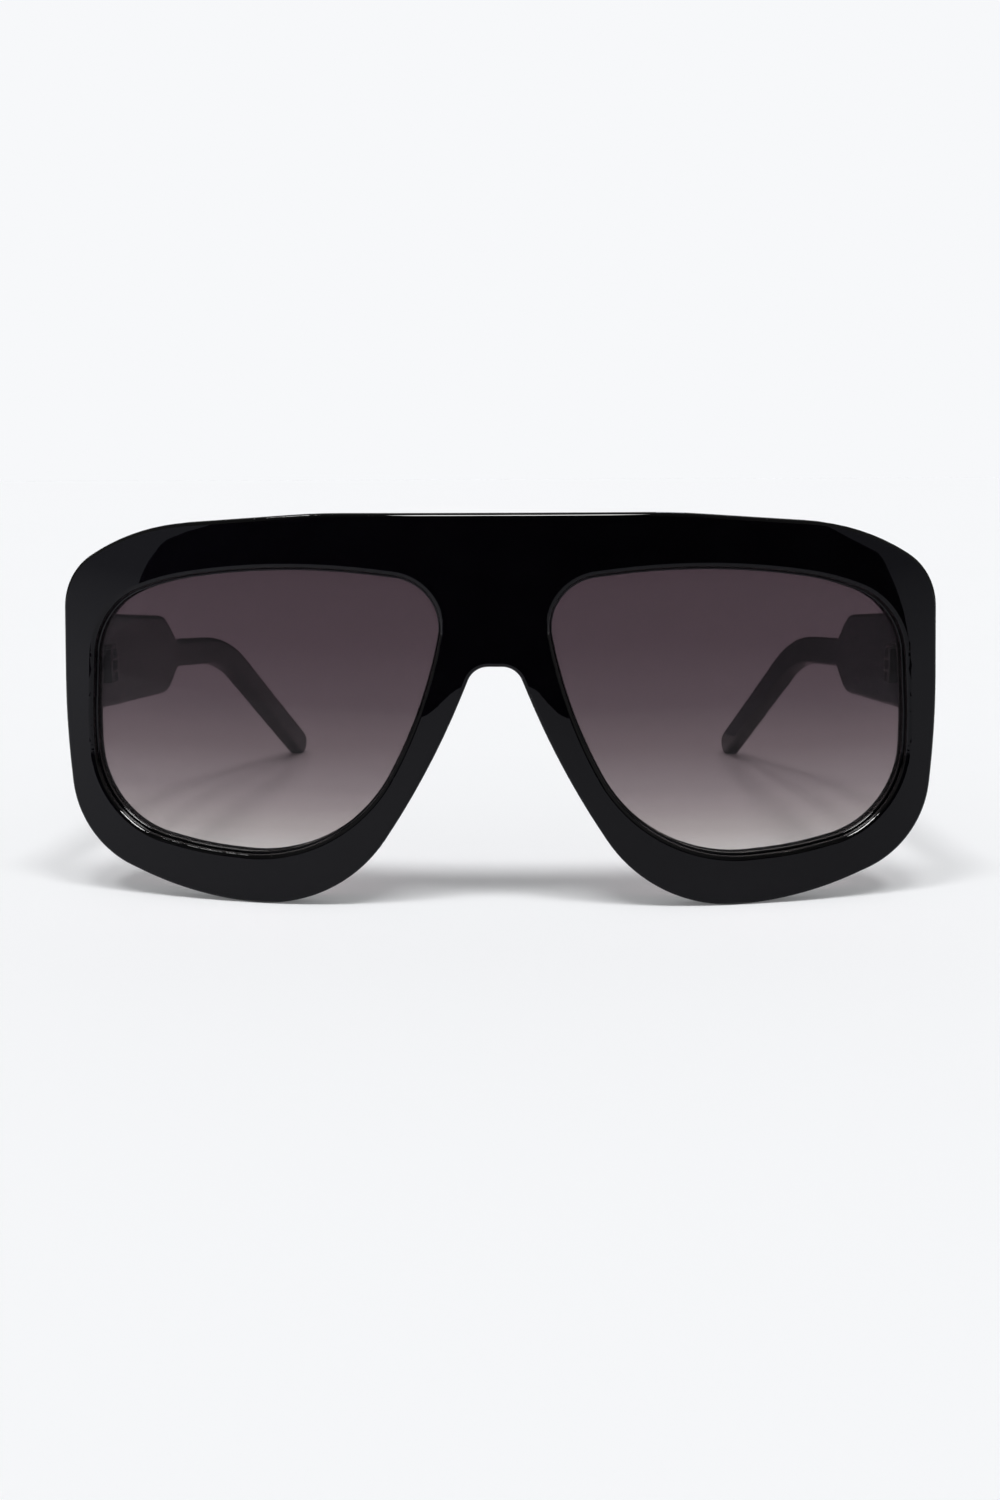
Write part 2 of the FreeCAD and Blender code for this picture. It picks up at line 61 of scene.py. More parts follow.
# %% Camera
FRONT_Y = packed_box[0][1]
CAMERA_LENS = 36.45
CAMERA_SENSOR = 36.0
CAMERA_NEAREST = 10.0 * MM
CAMERA_DISTANCE = 248.5 * MM
CAMERA_SIDESTEP = 8.2 * MM
CAMERA_HEIGHT = 75.0 * MM
CAMERA_PITCH = 10.78
CAMERA_YAW = 1.66
CAMERA_ROLL = 0.25


def turned(x, y, z):
    """Euler angles in degrees, as Blender wants them."""
    return tuple(math.radians(angle) for angle in (x, y, z))


camera_data = bpy.data.cameras.new("front_camera")
camera_data.lens = CAMERA_LENS
camera_data.sensor_width = CAMERA_SENSOR
camera_data.clip_start = CAMERA_NEAREST
camera = bpy.data.objects.new("front_camera", camera_data)
camera.location = (CAMERA_SIDESTEP, FRONT_Y - CAMERA_DISTANCE, CAMERA_HEIGHT)
camera.rotation_euler = turned(90.0 - CAMERA_PITCH, CAMERA_ROLL, CAMERA_YAW)
bpy.context.scene.collection.objects.link(camera)
bpy.context.scene.camera = camera
bpy.context.scene.view_settings.view_transform = "Standard"
print("camera stands at mm:", [round(value / MM, 1) for value in camera.location])

# %% [markdown]
# Node trees are easier to read when adding a node and joining two sockets each take one line.
# These helpers are used by every material below. A value given to a socket may be a plain number or
# another node's output, so a material reads from top to bottom like a recipe.

# %% Helpers for node trees
def feed(tree, socket, value):
    """Join another socket to this one, or set its plain value."""
    if isinstance(value, bpy.types.NodeSocket):
        tree.links.new(value, socket)
    else:
        socket.default_value = value


def add_node(tree, kind, settings=None, **values):
    """Add a node, set its properties, then its inputs (an underscore in a name stands for a space)."""
    node = tree.nodes.new(kind)
    for name, value in (settings or {}).items():
        setattr(node, name, value)
    for name, value in values.items():
        feed(tree, node.inputs[name.replace("_", " ")], value)
    return node


def maths(tree, operation, *values):
    """One arithmetic step on up to three values."""
    node = add_node(tree, "ShaderNodeMath", {"operation": operation})
    for socket, value in zip(node.inputs, values):
        feed(tree, socket, value)
    return node.outputs[0]


def solid(colour):
    """An opaque colour from its red, green and blue."""
    return (*colour, 1.0)


def blank_material(name):
    """A material with an empty node tree, and the socket that takes its shader."""
    material = bpy.data.materials.new(name)
    material.use_nodes = True
    tree = material.node_tree
    tree.nodes.clear()
    surface = tree.nodes.new("ShaderNodeOutputMaterial").inputs["Surface"]
    return material, tree, surface


print("helpers for node trees are ready")

# %% [markdown]
# A studio is mostly flat things: the table, and cards and lights held round it. Each is one face
# drawn through its corners in a bmesh, and the bevel operator rounds the corners where that is
# wanted. A plane primitive would do for the table, but not for a card with a shape cut into it.

# %% Helpers for the sheets of the studio
CORNER_SEGMENTS = 8


def staged_sheet(name, corners, material, rounding=0.0):
    """A flat sheet through the corners, perhaps with rounded ones, that isn't part of the object."""
    sheet = bmesh.new()
    sheet.faces.new([sheet.verts.new(corner) for corner in corners])
    if rounding:
        bmesh.ops.bevel(
            sheet,
            geom=sheet.verts[:],
            offset=rounding,
            affect="VERTICES",
            segments=CORNER_SEGMENTS,
            profile=0.5,
            material=-1,
        )
    mesh = bpy.data.meshes.new(name)
    sheet.to_mesh(mesh)
    sheet.free()
    mesh.materials.append(material)
    thing = bpy.data.objects.new(name, mesh)
    bpy.context.scene.collection.objects.link(thing)
    print(name, "has", len(mesh.vertices), "corners")
    return thing


def level_rectangle(left_x, right_x, near_y, far_y, height):
    """Corners of a level rectangle."""
    return [
        (left_x, near_y, height),
        (right_x, near_y, height),
        (right_x, far_y, height),
        (left_x, far_y, height),
    ]


print("a rounded corner gets", CORNER_SEGMENTS, "segments")

# %% [markdown]
# The floor is one pale sheet that runs out of sight, as in a white-table picture. What the camera
# sees of it is pale paper with a little light of its own, so that its lit part comes out near white
# while the shadow behind the front stays. More lamp light would whiten it too, but would also burn
# out the object. Reflections see plain paper, without that light.

# %% Floor
PAPER = (0.930, 0.939, 0.956)
PAPER_SHARE = 0.893
PAPER_GLOW = 0.13
FLOOR_REACH = 6.0


def seen_directly(tree):
    """1 for rays from the camera and rays that came through a lens, otherwise 0."""
    path = tree.nodes.new("ShaderNodeLightPath").outputs
    return maths(tree, "MAXIMUM", path["Is Camera Ray"], path["Is Transmission Ray"])


def mix_shaders(tree, factor, first, second):
    """The first shader where the factor is 0, the second where it is 1."""
    node = add_node(tree, "ShaderNodeMixShader", Fac=factor)
    feed(tree, node.inputs[1], first)
    feed(tree, node.inputs[2], second)
    return node.outputs[0]


paper, tree, surface = blank_material("white_paper")
lit_colour = solid(PAPER_SHARE * value for value in PAPER)
lit_paper = add_node(tree, "ShaderNodeBsdfDiffuse", Color=lit_colour).outputs[0]
glow = add_node(tree, "ShaderNodeEmission", Color=solid(PAPER), Strength=PAPER_GLOW).outputs[0]
glowing_paper = tree.nodes.new("ShaderNodeAddShader")
feed(tree, glowing_paper.inputs[0], lit_paper)
feed(tree, glowing_paper.inputs[1], glow)
feed(tree, surface, mix_shaders(tree, seen_directly(tree), lit_paper, glowing_paper.outputs[0]))
staged_sheet("floor", level_rectangle(-FLOOR_REACH, FLOOR_REACH, -FLOOR_REACH, FLOOR_REACH, 0.0), paper)

# %% [markdown]
# The light is a row of three soft lamps above and a little in front, which throws the short shadow
# behind the bridge and spreads it sideways. Sun lamps with wide discs are used, because area lamps
# would light the near floor more than the far one. Polished faces don't mirror these lamps: strips
# of light, further down, are there for that.

# %% Lamps
LAMP_STRENGTH = 2.1
LAMP_SPREAD = 12.0
LAMP_TILT = 17.2
LAMP_ROW = (-17.0, 0.0, 17.0)

for number, lean in enumerate(LAMP_ROW):
    lamp_data = bpy.data.lights.new(f"soft_lamp_{number}", "SUN")
    lamp_data.energy = LAMP_STRENGTH / len(LAMP_ROW)
    lamp_data.angle = math.radians(LAMP_SPREAD)
    lamp = bpy.data.objects.new(f"soft_lamp_{number}", lamp_data)
    lamp.rotation_euler = turned(LAMP_TILT, lean, 0.0)
    lamp.visible_glossy = False
    bpy.context.scene.collection.objects.link(lamp)
print(len(LAMP_ROW), "lamps", LAMP_TILT, "degrees from overhead")

# %% [markdown]
# The surroundings are a world shader. Seen directly or through a lens they are the same near-white
# as the floor, and they fill the shadows evenly. In reflections they are a dim room that is a little
# lighter towards its sides and its back, so that black edges stay dark but don't vanish. A picture of
# a studio wrapped round the scene would do this too, but three numbers are easier to tune.

# %% Surroundings
FILL = 0.35
ROOM_FRONT = 0.05
ROOM_SIDE = 0.18
ROOM_BACK = 0.12
SIDE_FADE = (0.35, 0.75)
BACK_FADE = (-0.8, 0.4)
MIX_COLOUR_FIRST = 6
MIX_COLOUR_SECOND = 7
MIX_COLOUR_RESULT = 2


def along_axes(tree, vector):
    """The X, Y and Z of a vector, each as a socket."""
    return add_node(tree, "ShaderNodeSeparateXYZ", Vector=vector).outputs


def map_range(tree, value, low, high, to_low, to_high):
    """Stretch the span from low to high onto the span from to_low to to_high."""
    node = add_node(tree, "ShaderNodeMapRange", Value=value, From_Min=low, From_Max=high)
    feed(tree, node.inputs["To Min"], to_low)
    feed(tree, node.inputs["To Max"], to_high)
    return node.outputs["Result"]


def mix_colours(tree, factor, first, second, blend="MIX"):
    """Mix two colours. The node's colour sockets share their names with others, so they go by number."""
    node = add_node(tree, "ShaderNodeMix", {"data_type": "RGBA", "blend_type": blend}, Factor=factor)
    feed(tree, node.inputs[MIX_COLOUR_FIRST], first)
    feed(tree, node.inputs[MIX_COLOUR_SECOND], second)
    return node.outputs[MIX_COLOUR_RESULT]


world = bpy.data.worlds.new("white_studio")
world.use_nodes = True
bpy.context.scene.world = world
tree = world.node_tree
tree.nodes.clear()
heading = along_axes(tree, tree.nodes.new("ShaderNodeTexCoord").outputs["Generated"])
sideways = maths(tree, "ABSOLUTE", heading["X"])
room_side = map_range(tree, sideways, *SIDE_FADE, ROOM_FRONT, ROOM_SIDE)
room_back = map_range(tree, heading["Y"], *BACK_FADE, ROOM_FRONT, ROOM_BACK)
room = maths(tree, "MAXIMUM", room_side, room_back)
mirrored_ray = tree.nodes.new("ShaderNodeLightPath").outputs["Is Glossy Ray"]
unseen = add_node(tree, "ShaderNodeMix", Factor=mirrored_ray, A=FILL, B=room).outputs[0]
colour = mix_colours(tree, seen_directly(tree), unseen, solid(PAPER))
sky = add_node(tree, "ShaderNodeBackground", Color=colour, Strength=1.0)
feed(tree, tree.nodes.new("ShaderNodeOutputWorld").inputs["Surface"], sky.outputs[0])
print("fill", FILL, "and a mirrored room from", ROOM_FRONT, "to", ROOM_SIDE)

# %% [markdown]
# Gloss black shows little colour of its own: it looks black where it mirrors something dark and grey
# where it mirrors something pale. In a studio, cards are therefore put just outside the picture. The
# cards here are matt, and each has painted light in its colour, on top of the lamps' light: a painted
# shade near the object and another far away, and a painted light from left to right. Only reflections
# see them: they cast no shadow and hide nothing from the camera.

# %% What the cards are made of
SHADE_FAR = 600.0 * MM
SHADE_NEAR = 50.0 * MM
PAINTED_LIGHT_REACH = 300.0 * MM
PAINTED_LIGHT_STOPS = (0.0, 0.63, 1.0)


def ramp(tree, factor, stops):
    """Colour ramp through (position, colour) stops."""
    node = add_node(tree, "ShaderNodeValToRGB", Fac=factor)
    elements = node.color_ramp.elements
    while len(elements) < len(stops):
        elements.new(1.0)
    for element, (position, colour) in zip(elements, stops):
        element.position = position
        element.color = solid(colour)
    return node.outputs["Color"]


def object_place(tree):
    """Where a point lies on its own piece, whatever way the temples are folded."""
    return tree.nodes.new("ShaderNodeTexCoord").outputs["Object"]


def card_material(name, near_shade, far_shade, light):
    """Matt card with painted shades near the object and far away, and painted light at left, middle and
    right.
    """
    material, tree, surface = blank_material(name)
    axes = along_axes(tree, object_place(tree))
    # Painted shade: the colour runs from the far shade to the near shade.
    nearness = map_range(tree, axes["Y"], FRONT_Y - SHADE_FAR, FRONT_Y - SHADE_NEAR, 0.0, 1.0)
    shade = ramp(tree, nearness, [(0.0, far_shade), (1.0, near_shade)])
    # Painted light: a ramp across the card, multiplied into its colour, lighter or darker from left to
    # right.
    across = map_range(tree, axes["X"], -PAINTED_LIGHT_REACH, PAINTED_LIGHT_REACH, 0.0, 1.0)
    lit = ramp(tree, across, [(stop, (level, level, level)) for stop, level in zip(PAINTED_LIGHT_STOPS, light)])
    colour = mix_colours(tree, 1.0, shade, lit, "MULTIPLY")
    feed(tree, surface, add_node(tree, "ShaderNodeBsdfDiffuse", Color=colour).outputs[0])
    return material


def only_in_reflections(thing):
    """Hide a sheet from everything but mirror-like faces."""
    thing.visible_camera = False
    thing.visible_diffuse = False
    thing.visible_transmission = False
    thing.visible_shadow = False


print("card shades change over", round((SHADE_FAR - SHADE_NEAR) / MM), "mm")

# %% [markdown]
# The black card stands in front and leans away from the object, so that the brow turns deep black.
# What the curved front mirrors is the card's outline, so its sides slope and differ, and a low arch
# is cut in its foot, to give the borders of the dark zone their slant. Painting the zone onto the
# front would be simpler, but it would stay put when the view changes, and a reflection moves.

# %% Black card
CARD_DISTANCE = 190.0 * MM
CARD_LEAN = 0.4
CARD_ROUNDING = 6.0 * MM
BLACK_CARD_SHADE = (0.054, 0.042, 0.080)
# Painted light across the black card: lighter at the left, darker towards the right.
BLACK_CARD_PAINTED_LIGHT = (1.0, 0.35, 0.25)
# Points in millimetres: out from the middle, and up from the table. In the arch, left is minus.
CARD_LEFT = [
    (300.0, 0.0),
    (288.0, 13.0),
    (257.0, 21.0),
    (253.0, 38.0),
    (236.0, 48.0),
    (190.0, 56.0),
    (120.0, 130.0),
]
CARD_RIGHT = [(287.0, 0.0), (279.0, 22.0), (260.0, 42.0), (205.0, 54.0), (120.0, 130.0)]
CARD_ARCH = [(-44.0, 0.0), (-24.0, 11.0), (12.0, 11.0), (31.0, 0.0)]

card_y = FRONT_Y - CARD_DISTANCE
card_outline = CARD_RIGHT + [(-across, up) for across, up in reversed(CARD_LEFT)] + CARD_ARCH
card_corners = [(across * MM, card_y - CARD_LEAN * up * MM, up * MM) for across, up in card_outline]
black = card_material("black_card", BLACK_CARD_SHADE, BLACK_CARD_SHADE, BLACK_CARD_PAINTED_LIGHT)
only_in_reflections(staged_sheet("black_card", card_corners, black, CARD_ROUNDING))

# %% [markdown]
# A grey card lies on the table in front and a little way under the front, so that the lower rims
# mirror a soft grey instead of white paper. A second, dim card stands up between the temples, close
# to the wearer's left one, which then mirrors less of the pale floor than the other temple does.

# %% Grey card and dim card
GREY_CARD_REACH = 2.0
GREY_CARD_LIFT = 0.4 * MM
GREY_CARD_TUCK = 14.0 * MM
# Painted light on the grey card: lighter near the object than far away, and lighter at the left than
# right of the middle.
GREY_CARD_NEAR = (0.515, 0.515, 0.57)
GREY_CARD_FAR = (0.235, 0.235, 0.28)
GREY_CARD_PAINTED_LIGHT = (1.10, 0.58, 0.72)
DIM_CARD_SHADE = (0.58, 0.58, 0.65)
# The dim card's painted light is even from left to right.
DIM_CARD_PAINTED_LIGHT = (1.0, 1.0, 1.0)
DIM_CARD_X = 40.0 * MM
DIM_CARD_NEAR = 100.0 * MM
DIM_CARD_FAR = 190.0 * MM
DIM_CARD_HEIGHT = 80.0 * MM

grey = card_material("grey_card", GREY_CARD_NEAR, GREY_CARD_FAR, GREY_CARD_PAINTED_LIGHT)
grey_edges = (FRONT_Y - GREY_CARD_REACH, FRONT_Y + GREY_CARD_TUCK)
grey_corners = level_rectangle(-GREY_CARD_REACH, GREY_CARD_REACH, *grey_edges, GREY_CARD_LIFT)
only_in_reflections(staged_sheet("grey_card", grey_corners, grey))

dim = card_material("dim_card", DIM_CARD_SHADE, DIM_CARD_SHADE, DIM_CARD_PAINTED_LIGHT)
dim_corners = [
    (DIM_CARD_X, FRONT_Y + DIM_CARD_NEAR, 0.0),
    (DIM_CARD_X, FRONT_Y + DIM_CARD_FAR, 0.0),
    (DIM_CARD_X, FRONT_Y + DIM_CARD_FAR, DIM_CARD_HEIGHT),
    (DIM_CARD_X, FRONT_Y + DIM_CARD_NEAR, DIM_CARD_HEIGHT),
]
only_in_reflections(staged_sheet("dim_card", dim_corners, dim))

# %% [markdown]
# Two strips of light hang above. Mirrored in the roundings, they draw the thin line along the top of
# the brow and the bright lines on the edges of the lens openings. They are glowing sheets and not
# lamps, because a sheet that only reflections see adds a highlight without adding any light.

# %% Strips of light
STRIP_HEIGHT = 400.0 * MM
# Left, right, near and far edge, measured from the middle of the front, and the brightness.
STRIPS = [
    (-95.0 * MM, 100.0 * MM, -320.0 * MM, -160.0 * MM, 26.0),
    (-170.0 * MM, -135.0 * MM, -20.0 * MM, 100.0 * MM, 10.0),
]

for number, (left_x, right_x, near_y, far_y, brightness) in enumerate(STRIPS):
    strip_light, tree, surface = blank_material(f"strip_light_{number}")
    feed(tree, surface, add_node(tree, "ShaderNodeEmission", Strength=brightness).outputs[0])
    strip_corners = level_rectangle(left_x, right_x, FRONT_Y + near_y, FRONT_Y + far_y, STRIP_HEIGHT)
    only_in_reflections(staged_sheet(f"strip_light_{number}", strip_corners, strip_light))

# %% [markdown]
# Polished pieces are never quite even. Fingers leave patches that are a little less shiny, and
# cloths leave hairlines. A painted texture could hold both, but one node group makes them as masks
# for every piece, and each finish decides how much of them it shows. Noise on object coordinates
# keeps the patches the same size everywhere, and noise that is stretched a hundred times along one
# direction turns its grains into hairlines.

# %% Shared effect: handling marks
PATCH_EDGES = (0.45, 0.75)
HAIRLINE_EDGES = (0.72, 0.80)
HAIRLINE_TURNS = (25.0, -50.0)
HAIRLINE_STRETCH = (60.0, 9000.0, 6000.0)


def new_group(name, inputs, outputs):
    """An empty shader node group with named sockets, each given as (name, kind)."""
    group = bpy.data.node_groups.new(name, "ShaderNodeTree")
    for label, kind in inputs:
        group.interface.new_socket(label, in_out="INPUT", socket_type="NodeSocket" + kind)
    for label, kind in outputs:
        group.interface.new_socket(label, in_out="OUTPUT", socket_type="NodeSocket" + kind)
    return group, group.nodes.new("NodeGroupInput").outputs, group.nodes.new("NodeGroupOutput").inputs


def noise(tree, vector, scale, detail):
    """Cloudy noise, mostly between 0.3 and 0.7, with about so many grains to the metre."""
    return add_node(tree, "ShaderNodeTexNoise", Vector=vector, Scale=scale, Detail=detail).outputs[0]


def stretched(tree, vector, scale, rotation=(0.0, 0.0, 0.0)):
    """Coordinates turned and scaled unevenly, so that grains become streaks."""
    return add_node(tree, "ShaderNodeMapping", Vector=vector, Rotation=rotation, Scale=scale).outputs[0]


handling, given, result = new_group(
    "handling_marks",
    [("Vector", "Vector"), ("Patch Size mm", "Float")],
    [("Patches", "Float"), ("Hairlines", "Float")],
)
patches_per_metre = maths(handling, "DIVIDE", 1.0 / MM, given["Patch Size mm"])
patches = noise(handling, given["Vector"], patches_per_metre, detail=5.0)
feed(handling, result["Patches"], map_range(handling, patches, *PATCH_EDGES, 0.0, 1.0))
hairlines = 0.0
for turn in HAIRLINE_TURNS:
    laid = stretched(handling, given["Vector"], HAIRLINE_STRETCH, turned(turn, turn, turn))
    grains = noise(handling, laid, 1.0, detail=1.0)
    lines = map_range(handling, grains, *HAIRLINE_EDGES, 0.0, 1.0)
    hairlines = maths(handling, "MAXIMUM", hairlines, lines)
feed(handling, result["Hairlines"], hairlines)
print("group", handling.name, "has", len(handling.nodes), "nodes")

# %% [markdown]
# Dust settles as single specks on faces that look up. Loose particles would be heavy for so little,
# so the group multiplies a speck pattern by how far the surface faces upwards, and undersides stay
# clean.

# %% Shared effect: settled dust
SPECKS_PER_METRE = 900.0
SPECK_EDGES = (0.06, 0.10)
UPWARD_EDGES = (0.2, 0.9)

dust, given, result = new_group(
    "settled_dust",
    [("Vector", "Vector"), ("Amount", "Float")],
    [("Dust", "Float")],
)
specks = add_node(dust, "ShaderNodeTexVoronoi", Vector=given["Vector"], Scale=SPECKS_PER_METRE)
near_speck = map_range(dust, specks.outputs["Distance"], *SPECK_EDGES, 1.0, 0.0)
outward = dust.nodes.new("ShaderNodeNewGeometry").outputs["Normal"]
facing_up = map_range(dust, along_axes(dust, outward)["Z"], *UPWARD_EDGES, 0.0, 1.0)
settled = maths(dust, "MULTIPLY", near_speck, facing_up)
feed(dust, result["Dust"], maths(dust, "MULTIPLY", settled, given["Amount"]))
print("group", dust.name, "has", len(dust.nodes), "nodes")

# %% [markdown]
# Plating and turned metal wear first on their edges. The Bevel node gives the normal that a rounded
# edge would have. Where that differs from the surface's own normal there is an edge, and a little
# noise breaks the line up, so that the wear doesn't look drawn on. Pointiness is the other common
# way to find edges, but it needs a dense mesh, which small hardware doesn't have.

# %% Shared effect: edge wear
WEAR_SAMPLES = 6
WEAR_EDGES = (0.80, 0.99)
BREAKS_PER_METRE = 1800.0
BREAK_EDGES = (0.42, 0.62)

rubbed, given, result = new_group(
    "edge_wear",
    [("Vector", "Vector"), ("Width mm", "Float")],
    [("Edge", "Float")],
)
width = maths(rubbed, "MULTIPLY", given["Width mm"], MM)
softened = add_node(rubbed, "ShaderNodeBevel", {"samples": WEAR_SAMPLES}, Radius=width)
own_normal = rubbed.nodes.new("ShaderNodeNewGeometry").outputs["Normal"]
likeness = add_node(rubbed, "ShaderNodeVectorMath", {"operation": "DOT_PRODUCT"})
feed(rubbed, likeness.inputs[0], softened.outputs[0])
feed(rubbed, likeness.inputs[1], own_normal)
edge = map_range(rubbed, likeness.outputs["Value"], *WEAR_EDGES, 1.0, 0.0)
breaks = noise(rubbed, given["Vector"], BREAKS_PER_METRE, detail=3.0)
broken = map_range(rubbed, breaks, *BREAK_EDGES, 0.0, 1.0)
feed(rubbed, result["Edge"], maths(rubbed, "MULTIPLY", edge, broken))
print("group", rubbed.name, "has", len(rubbed.nodes), "nodes")

# %% [markdown]
# The front, the temples and the nose pads are black acetate polished to a mirror. The colour is a
# little above zero and drifts slightly, because sheet acetate is folded from dyed dough. Handling
# marks raise the roughness in patches, hairlines scratch the gloss, and a long faint ripple bends the
# reflections the way a hand-polished face does. A clear coat over a dull base would shine as well,
# but acetate is the same right through, so one glossy layer is the truer choice.

# %% Finish: black acetate
ACETATE_DARK = (0.0003, 0.0003, 0.0004)
ACETATE_PALE = (0.0009, 0.0009, 0.0011)
ACETATE_INDEX = 1.49
ACETATE_ROUGHNESS = 0.006
SMUDGE_ROUGHNESS = 0.015
HAIRLINE_ROUGHNESS = 0.01
CLOUDS_PER_METRE = 120.0
RIPPLES_PER_METRE = 70.0
RIPPLE_DEPTH = 0.6 * MM
DUST_COLOUR = (0.35, 0.34, 0.33)


def use_group(tree, group, **values):
    """Place a shared effect in a material with its own values."""
    return add_node(tree, "ShaderNodeGroup", {"node_tree": group}, **values).outputs


def bump(tree, height, strength, depth):
    """A normal that makes the surface look raised where the height is large."""
    return add_node(tree, "ShaderNodeBump", Strength=strength, Distance=depth, Height=height).outputs[0]


def dress(names, material):
    """Give one finish to the named pieces."""
    for name in names:
        pieces[name].data.materials.clear()
        pieces[name].data.materials.append(material)
    print(material.name, "on", ", ".join(names))


acetate, tree, surface = blank_material("black_acetate")
place = object_place(tree)
clouds = noise(tree, place, CLOUDS_PER_METRE, detail=3.0)
dyed = ramp(tree, clouds, [(0.3, ACETATE_DARK), (0.75, ACETATE_PALE)])
dusty = use_group(tree, dust, Vector=place, Amount=0.12)["Dust"]
marks = use_group(tree, handling, Vector=place, Patch_Size_mm=14.0)
smudged = maths(tree, "MULTIPLY_ADD", marks["Patches"], SMUDGE_ROUGHNESS, ACETATE_ROUGHNESS)
ripples = noise(tree, place, RIPPLES_PER_METRE, detail=0.0)
body = add_node(
    tree,
    "ShaderNodeBsdfPrincipled",
    Base_Color=mix_colours(tree, dusty, dyed, solid(DUST_COLOUR)),
    IOR=ACETATE_INDEX,
    Roughness=maths(tree, "MULTIPLY_ADD", marks["Hairlines"], HAIRLINE_ROUGHNESS, smudged),
    Normal=bump(tree, ripples, strength=0.05, depth=RIPPLE_DEPTH),
)
feed(tree, surface, body.outputs[0])
dress(["front_frame", "temple_left", "temple_right", "nose_pad_left", "nose_pad_right"], acetate)

# %% [markdown]
# The lenses are dyed by dipping: the top stays longest in the dye, so the tint is darkest there and
# fades to a pale smoke near the bottom. Light passes the front and the back of the lens, and each
# surface tints by the square root of the colour, so the ramp holds the share that gets through both.
# A dye inside the glass would need a volume shader, which is slow and which the ramp makes needless.
# An anti-reflection coat keeps sharp reflections weak, and a soft coat gives the faint overall sheen.
# Rays from lamps take a plain see-through shader, so that the lens doesn't black out the floor.

# %% Finish: smoke lens
TINT_STOPS = [
    (0.00, (0.585, 0.555, 0.540)),
    (0.10, (0.407, 0.361, 0.358)),
    (0.17, (0.307, 0.262, 0.267)),
    (0.24, (0.234, 0.192, 0.203)),
    (0.385, (0.144, 0.110, 0.120)),
    (0.53, (0.095, 0.068, 0.079)),
    (0.74, (0.069, 0.046, 0.056)),
    (1.00, (0.062, 0.041, 0.050)),
]
LENS_INDEX = 1.5
LENS_SMUDGE = 0.02
LENS_REFLECTION = (0.1, 0.1, 0.1)
lens_low, lens_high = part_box("lens_left")

lens, tree, surface = blank_material("smoke_lens")
place = object_place(tree)
level = map_range(tree, along_axes(tree, place)["Z"], lens_low[2], lens_high[2], 0.0, 1.0)
tint = ramp(tree, level, TINT_STOPS)
marks = use_group(tree, handling, Vector=place, Patch_Size_mm=18.0)
glass = add_node(
    tree,
    "ShaderNodeBsdfPrincipled",
    Base_Color=tint,
    IOR=LENS_INDEX,
    Roughness=maths(tree, "MULTIPLY", marks["Patches"], LENS_SMUDGE),
    Transmission_Weight=1.0,
    Specular_Tint=solid(LENS_REFLECTION),
    Coat_Weight=0.75,
    Coat_Roughness=0.4,
)
clear = add_node(tree, "ShaderNodeBsdfTransparent", Color=tint)
lamp_ray = tree.nodes.new("ShaderNodeLightPath").outputs["Is Shadow Ray"]
feed(tree, surface, mix_shaders(tree, lamp_ray, glass.outputs[0], clear.outputs[0]))
print("tint runs over", round((lens_high[2] - lens_low[2]) / MM, 1), "mm of height")
dress(["lens_left", "lens_right"], lens)

# %% [markdown]
# The hinge halves are stamped metal with a black plating. The plating is dark and fairly smooth, and
# on the edges of the knuckles it has rubbed through to the pale metal below. Both are metals, so one
# shader serves, and the edge mask only swaps the colour.

# %% Finish: plated hinge
PLATING = (0.035, 0.035, 0.038)
BARE_METAL = (0.56, 0.53, 0.48)
PLATING_ROUGHNESS = 0.28
PLATING_SMUDGE = 0.15
STAMPING_PER_METRE = 6000.0
STAMPING_DEPTH = 0.03 * MM


def metal_finish(tree, colour, roughness, normal):
    """The shader that all the metal pieces share."""
    shader = add_node(tree, "ShaderNodeBsdfPrincipled", Base_Color=colour, Metallic=1.0)
    feed(tree, shader.inputs["Roughness"], roughness)
    feed(tree, shader.inputs["Normal"], normal)
    return shader.outputs[0]


plated, tree, surface = blank_material("plated_hinge")
place = object_place(tree)
worn = use_group(tree, rubbed, Vector=place, Width_mm=0.12)["Edge"]
marks = use_group(tree, handling, Vector=place, Patch_Size_mm=2.0)
colour = mix_colours(tree, worn, solid(PLATING), solid(BARE_METAL))
roughness = maths(tree, "MULTIPLY_ADD", marks["Patches"], PLATING_SMUDGE, PLATING_ROUGHNESS)
grain = noise(tree, place, STAMPING_PER_METRE, detail=2.0)
relief = bump(tree, grain, strength=0.1, depth=STAMPING_DEPTH)
feed(tree, surface, metal_finish(tree, colour, roughness, relief))
dress(["front_hinge_left", "front_hinge_right", "temple_hinge_left", "temple_hinge_right"], plated)

# %% [markdown]
# The screws are turned on a lathe, which leaves fine rings round their axis. Anisotropic gloss is the
# usual shortcut for that, but on so small a head real rings are easy: the distance from the hinge
# axis drives a sine wave. Both screws share the pattern, because the sign of X is dropped before the
# axis is subtracted.

# %% Finish: turned screw
STEEL = (0.62, 0.61, 0.60)
STEEL_DULL = (0.40, 0.39, 0.38)
STEEL_ROUGHNESS = 0.30
STEEL_RUBBED = -0.12
RING_PITCH = 0.06 * MM
RING_SHADE = 0.35
RING_DEPTH = 0.01 * MM
axis_x, axis_y = frame["joints"][0]["pos_m"][:2]

